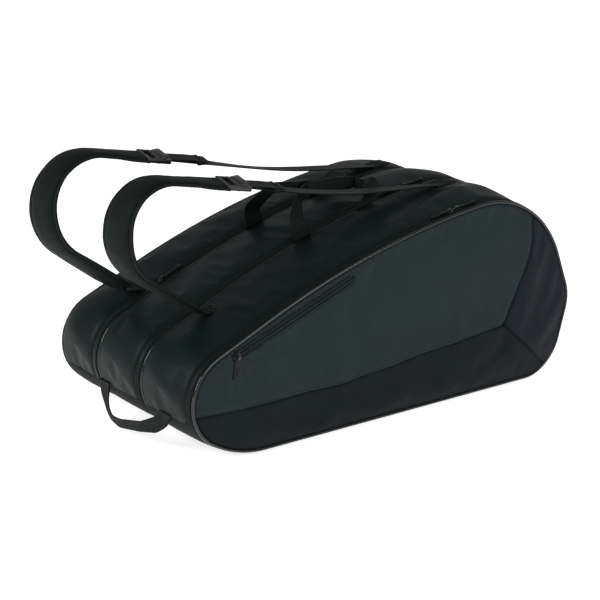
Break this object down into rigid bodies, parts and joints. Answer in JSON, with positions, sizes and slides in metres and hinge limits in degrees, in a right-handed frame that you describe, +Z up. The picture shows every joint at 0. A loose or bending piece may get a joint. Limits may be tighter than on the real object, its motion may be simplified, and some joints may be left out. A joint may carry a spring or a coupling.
{
  "type": "racket tournament bag",
  "caption": "Padded racket bag of three zipped tubs with a side pocket, two shoulder straps, a gripped pair of carry handles and a grab handle.",
  "frame": {"origin": "on the ground under the middle of the bag's base", "axes": "+X along the bag towards the racket heads, -Y towards the pocket side, +Z up"},
  "size_m": [0.8395, 0.3636, 0.4102],
  "materials": {
    "coated_cloth": "polyester coated on its face, soft sheen",
    "panel_cloth": "coated polyester over foam, fine rib",
    "lower_cloth": "coated polyester, darker",
    "base_cloth": "heavy woven polyester",
    "padded_lining": "foam between lining cloths",
    "padded_cloth": "padded woven cloth, bound edges",
    "webbing": "woven polypropylene webbing",
    "zip_tape": "coil zip on woven tape",
    "vinyl_piping": "glossy vinyl over cord",
    "stiffener_board": "polyethylene board",
    "slider_metal": "black painted zinc",
    "puller_rubber": "moulded black rubber",
    "acetal": "moulded black acetal"
  },
  "bodies": {
    "middle_tub": {"middle_tub_gusset": "coated_cloth", "middle_tub_base": "base_cloth", "middle_tub_zip_tape": "zip_tape", "middle_tub_base_board": "stiffener_board", "middle_divider": "padded_lining", "middle_piping": "vinyl_piping", "middle_seam_tape": "zip_tape"},
    "side_tub": {"side_tub_gusset": "coated_cloth", "side_tub_base": "base_cloth", "side_tub_zip_tape": "zip_tape", "side_tub_base_board": "stiffener_board", "front_divider": "padded_lining", "front_piping": "vinyl_piping", "front_seam_tape": "zip_tape", "front_strap_foot_tab": "webbing", "front_strap_top_patch": "webbing"},
    "rear_tub": {"rear_tub_gusset": "coated_cloth", "rear_tub_base": "base_cloth", "rear_tub_zip_tape": "zip_tape", "rear_tub_base_board": "stiffener_board", "rear_piping": "vinyl_piping", "rear_panel": "panel_cloth", "rear_strap_foot_tab": "webbing", "rear_strap_top_patch": "webbing"},
    "side_panel": {"side_foam": "padded_lining", "side_pocket_cloth": "panel_cloth", "side_lower_cloth": "lower_cloth", "side_head_cloth": "lower_cloth", "side_piping": "vinyl_piping", "side_seam_tape": "zip_tape", "pocket_zip_tape": "zip_tape"},
    "rear_strap": {"rear_strap_pad": "padded_cloth", "rear_strap_ladder_lock": "acetal", "rear_strap_webbing": "webbing"},
    "front_strap": {"front_strap_pad": "padded_cloth", "front_strap_ladder_lock": "acetal", "front_strap_webbing": "webbing"},
    "rear_carry_handle": {"rear_carry_handle": "webbing"},
    "front_carry_handle": {"front_carry_handle": "webbing", "carry_handle_grip": "padded_cloth"},
    "grab_handle": {"grab_handle": "webbing"},
    "rear_zip_slider": {"rear_zip_slider": "slider_metal"},
    "rear_zip_puller": {"rear_zip_puller": "puller_rubber"},
    "front_zip_tail_slider": {"front_zip_tail_slider": "slider_metal"},
    "front_zip_tail_puller": {"front_zip_tail_puller": "puller_rubber"},
    "front_zip_head_slider": {"front_zip_head_slider": "slider_metal"},
    "front_zip_head_puller": {"front_zip_head_puller": "puller_rubber"},
    "side_zip_tail_slider": {"side_zip_tail_slider": "slider_metal"},
    "side_zip_tail_puller": {"side_zip_tail_puller": "puller_rubber"},
    "side_zip_head_slider": {"side_zip_head_slider": "slider_metal"},
    "side_zip_head_puller": {"side_zip_head_puller": "puller_rubber"},
    "pocket_zip_slider": {"pocket_zip_slider": "slider_metal"},
    "pocket_zip_puller": {"pocket_zip_puller": "puller_rubber"}
  },
  "joints": [
    {"name": "rear_tub_opening", "type": "hinge", "parent": "middle_tub", "child": "rear_tub", "pos_m": [0, 0.078, 0], "axis": [-1, 0, 0], "range_deg": [0, 8]},
    {"name": "side_tub_opening", "type": "hinge", "parent": "middle_tub", "child": "side_tub", "pos_m": [0, -0.043, 0], "axis": [1, 0, 0], "range_deg": [0, 5]},
    {"name": "side_panel_opening", "type": "hinge", "parent": "side_tub", "child": "side_panel", "pos_m": [0, -0.173, 0], "axis": [1, 0, 0], "range_deg": [0, 75]},
    {"name": "rear_strap_swing", "type": "hinge", "parent": "rear_tub", "child": "rear_strap", "pos_m": [-0.322, 0.095, 0.19], "axis": [0.9655, 0, 0.2605], "range_deg": [-10, 10]},
    {"name": "front_strap_swing", "type": "hinge", "parent": "side_tub", "child": "front_strap", "pos_m": [-0.306, -0.079, 0.195], "axis": [0.962, 0, 0.2729], "range_deg": [-10, 10]},
    {"name": "rear_handle_lift", "type": "hinge", "parent": "middle_tub", "child": "rear_carry_handle", "pos_m": [-0.09, 0.068, 0.26132], "axis": [-0.9651, 0, -0.2618], "range_deg": [0, 35]},
    {"name": "front_handle_lift", "type": "hinge", "parent": "side_tub", "child": "front_carry_handle", "pos_m": [-0.09, -0.053, 0.26699], "axis": [0.9635, 0, 0.2676], "range_deg": [0, 28]},
    {"name": "grab_handle_swing", "type": "hinge", "parent": "middle_tub", "child": "grab_handle", "pos_m": [-0.3758, 0, 0.0555], "axis": [0, 1, 0], "range_deg": [0, 90]},
    {"name": "rear_zip_travel", "type": "hinge", "parent": "rear_tub", "child": "rear_zip_slider", "pos_m": [0.35446, 0.078, -1.13988], "axis": [0, 1, 0], "range_deg": [0, 15]},
    {"name": "rear_zip_puller_flip", "type": "hinge", "parent": "rear_zip_slider", "child": "rear_zip_puller", "pos_m": [-0.25954, 0.078, 0.19982], "axis": [0, -1, 0], "range_deg": [0, 160]},
    {"name": "front_zip_tail_travel", "type": "hinge", "parent": "middle_tub", "child": "front_zip_tail_slider", "pos_m": [0.36298, -0.043, -1.13148], "axis": [0, 1, 0], "range_deg": [-12.5, 0]},
    {"name": "front_zip_tail_puller_flip", "type": "hinge", "parent": "front_zip_tail_slider", "child": "front_zip_tail_puller", "pos_m": [0.10736, -0.043, 0.31988], "axis": [0, 1, 0], "range_deg": [0, 110]},
    {"name": "front_zip_head_travel", "type": "hinge", "parent": "middle_tub", "child": "front_zip_head_slider", "pos_m": [0.36298, -0.043, -1.13148], "axis": [0, 1, 0], "range_deg": [0, 1.6]},
    {"name": "front_zip_head_puller_flip", "type": "hinge", "parent": "front_zip_head_slider", "child": "front_zip_head_puller", "pos_m": [0.1234, -0.043, 0.32261], "axis": [0, -1, 0], "range_deg": [0, 110]},
    {"name": "side_zip_tail_travel", "type": "hinge", "parent": "side_tub", "child": "side_zip_tail_slider", "pos_m": [0.34925, -0.1655, -1.14497], "axis": [0, 1, 0], "range_deg": [-13, 0]},
    {"name": "side_zip_tail_puller_flip", "type": "hinge", "parent": "side_zip_tail_slider", "child": "side_zip_tail_puller", "pos_m": [0.10539, -0.1655, 0.30841], "axis": [0, 1, 0], "range_deg": [0, 110]},
    {"name": "side_zip_head_travel", "type": "hinge", "parent": "side_tub", "child": "side_zip_head_slider", "pos_m": [0.34925, -0.1655, -1.14497], "axis": [0, 1, 0], "range_deg": [0, 1.6]},
    {"name": "side_zip_head_puller_flip", "type": "hinge", "parent": "side_zip_head_slider", "child": "side_zip_head_puller", "pos_m": [0.12143, -0.1655, 0.31101], "axis": [0, -1, 0], "range_deg": [0, 110]},
    {"name": "pocket_zip_travel", "type": "slide", "parent": "side_panel", "child": "pocket_zip_slider", "axis": [0.9336, 0, 0.3584], "range_m": [0, 0.215]},
    {"name": "pocket_zip_puller_swing", "type": "hinge", "parent": "pocket_zip_slider", "child": "pocket_zip_puller", "pos_m": [-0.3054, -0.183, 0.15415], "axis": [0, -1, 0], "range_deg": [-60, 60]}
  ]
}
